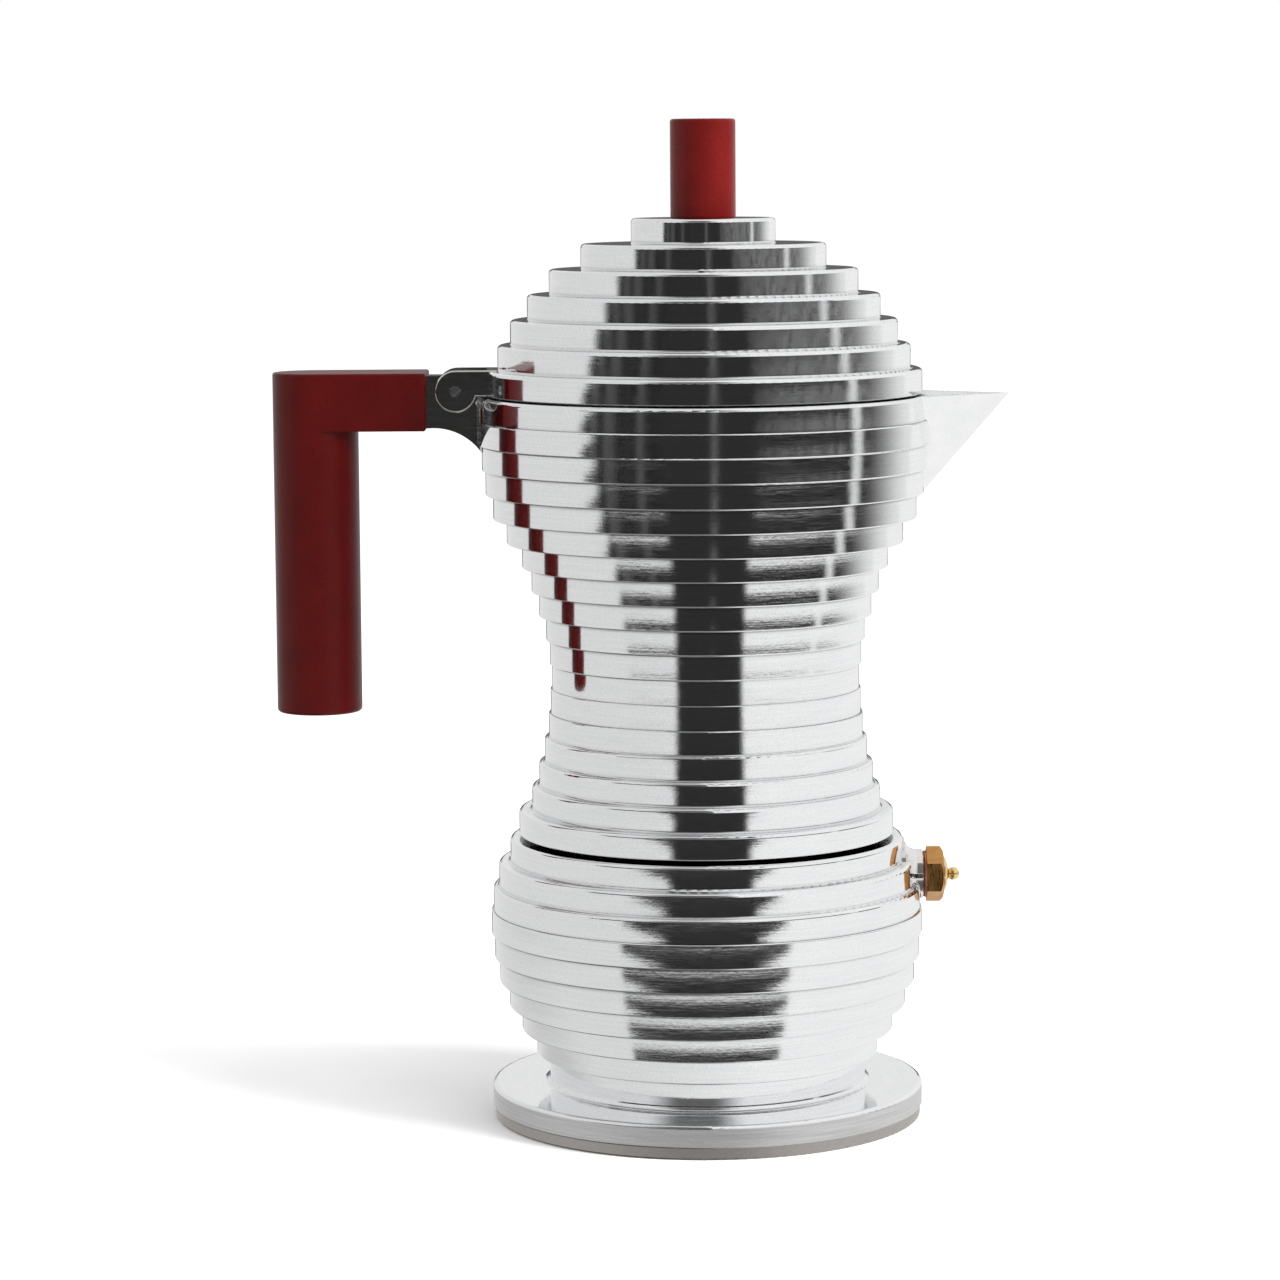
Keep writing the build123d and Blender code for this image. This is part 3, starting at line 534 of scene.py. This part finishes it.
def dress_all():
    """Every node's material."""
    flat = flat_aluminium()
    beak = cast_aluminium("satin_casting", (0.93, 0.935, 0.94), (0.99, 0.99, 0.99), 0.30)
    inside = cast_aluminium("inner_casting", (0.62, 0.63, 0.64), (0.72, 0.73, 0.74), 0.42)
    for name, (bottom, pitch) in RINGS.items():
        dress_casting(name, turned_aluminium("turned_" + name, bottom, pitch), flat, beak, inside)
    plate = brushed_metal("plate_steel", (0.40, 0.37, 0.35), (0.52, 0.49, 0.46), 0.30)
    dress("induction_plate", plate)
    spun = brushed_metal("spun_aluminium", (0.66, 0.67, 0.68), (0.78, 0.79, 0.80), 0.28)
    for name in ("funnel", "funnel_screen", "filter_plate"):
        dress(name, spun)
    dull_brass = brass("hexagon_brass", (0.50, 0.24, 0.07), (0.62, 0.32, 0.11), 0.13)
    bright_brass = brass("turned_brass", (0.86, 0.60, 0.26), (0.95, 0.72, 0.36), 0.16)
    dress("valve_body", dull_brass)
    dress("valve_cap", bright_brass)
    dress("valve_plunger", bright_brass)
    steel = brushed_metal("bright_steel", (0.60, 0.60, 0.61), (0.72, 0.72, 0.73), 0.22)
    for name in ("valve_spring", "handle_screw", "knob_screw", "knob_washer", "hinge_pin"):
        dress(name, steel)
    silicone = soft_rubber("silicone", (0.74, 0.73, 0.70), (0.84, 0.83, 0.80))
    dress("gasket", silicone)
    dress("valve_seal", silicone)
    dress("valve_washer", soft_rubber("fibre_washer", (0.22, 0.07, 0.04), (0.34, 0.12, 0.07)))
    # Painted shade: the handle's red is set darker than the knob's, standing in for the shade the
    # handle sits in
    dress("handle", moulded_red("handle_polyamide", (0.052, 0.0009, 0.0007),
                                (0.062, 0.0013, 0.0010), 0.34, 2600.0))
    dress("lid_knob", moulded_red("knob_polyamide", (0.082, 0.0024, 0.0018),
                                  (0.098, 0.0036, 0.0028), 0.34, 1500.0))


# Floor, lights and camera

def make_floor():
    """Plain pale floor that the metal doesn't mirror."""
    mesh = bpy.data.meshes.new("floor")
    signs = [(-1, -1), (1, -1), (1, 1), (-1, 1)]
    corners = [(a * FLOOR_HALF, b * FLOOR_HALF, -FLOOR_DROP) for a, b in signs]
    mesh.from_pydata(corners, [], [(0, 1, 2, 3)])
    floor = bpy.data.objects.new("floor", mesh)
    bpy.context.scene.collection.objects.link(floor)
    material, tree, shader, coords = new_material("pale_floor")
    paper = noise(tree, coords, 40.0, 2.0)
    put(tree, shader.inputs["Base Color"],
        ramp(tree, paper, [(0.3, (0.86, 0.86, 0.86)), (0.7, (0.88, 0.88, 0.88))]))
    shader.inputs["Roughness"].default_value = 1.0
    shader.inputs["Specular IOR Level"].default_value = 0.0
    mesh.materials.append(material)
    floor.visible_glossy = False


def area_light(name, place, target, size, energy):
    """Soft lamp that the metal doesn't mirror."""
    data = bpy.data.lights.new(name, "AREA")
    data.shape = "SQUARE"
    data.size = size
    data.energy = energy
    lamp = bpy.data.objects.new(name, data)
    lamp.location = place
    lamp.rotation_euler = (Vector(target) - Vector(place)).to_track_quat("-Z", "Y").to_euler()
    lamp.visible_glossy = False
    lamp.visible_camera = False
    bpy.context.scene.collection.objects.link(lamp)


def sun_light(name, elevation, turn, angle, strength):
    """Distant soft light from the right that the metal doesn't mirror."""
    data = bpy.data.lights.new(name, "SUN")
    data.angle = math.radians(angle)
    data.energy = strength
    lamp = bpy.data.objects.new(name, data)
    lamp.rotation_euler = (0.0, math.radians(90.0 - elevation), math.radians(turn))
    lamp.visible_glossy = False
    bpy.context.scene.collection.objects.link(lamp)


def make_camera():
    """Camera at the photo's angle."""
    data = bpy.data.cameras.new("camera")
    data.sensor_width = SENSOR
    data.lens = CAMERA_LENS
    data.clip_start = CLIP_START
    data.clip_end = CLIP_END
    camera = bpy.data.objects.new("camera", data)
    tilt = Matrix.Rotation(math.radians(CAMERA_TILT), 4, "X")
    roll = Matrix.Rotation(math.radians(CAMERA_ROLL), 4, "Z")
    camera.matrix_world = Matrix.Translation(CAMERA_PLACE) @ tilt @ roll
    bpy.context.scene.collection.objects.link(camera)
    bpy.context.scene.camera = camera


make_camera()
make_world()
make_floor()
middle = (cad_box[0] + cad_box[1]) / 2
sun_light("overhead", SUN_ELEVATION, SUN_TURN, SUN_ANGLE, SUN_STRENGTH)
area_light("side", middle + Vector(SIDE_LAMP_OFFSET), middle, SIDE_LAMP_SIZE, SIDE_LAMP_POWER)
dress_all()

scene = bpy.context.scene
scene.view_settings.view_transform = "Standard"
scene.view_settings.look = "None"
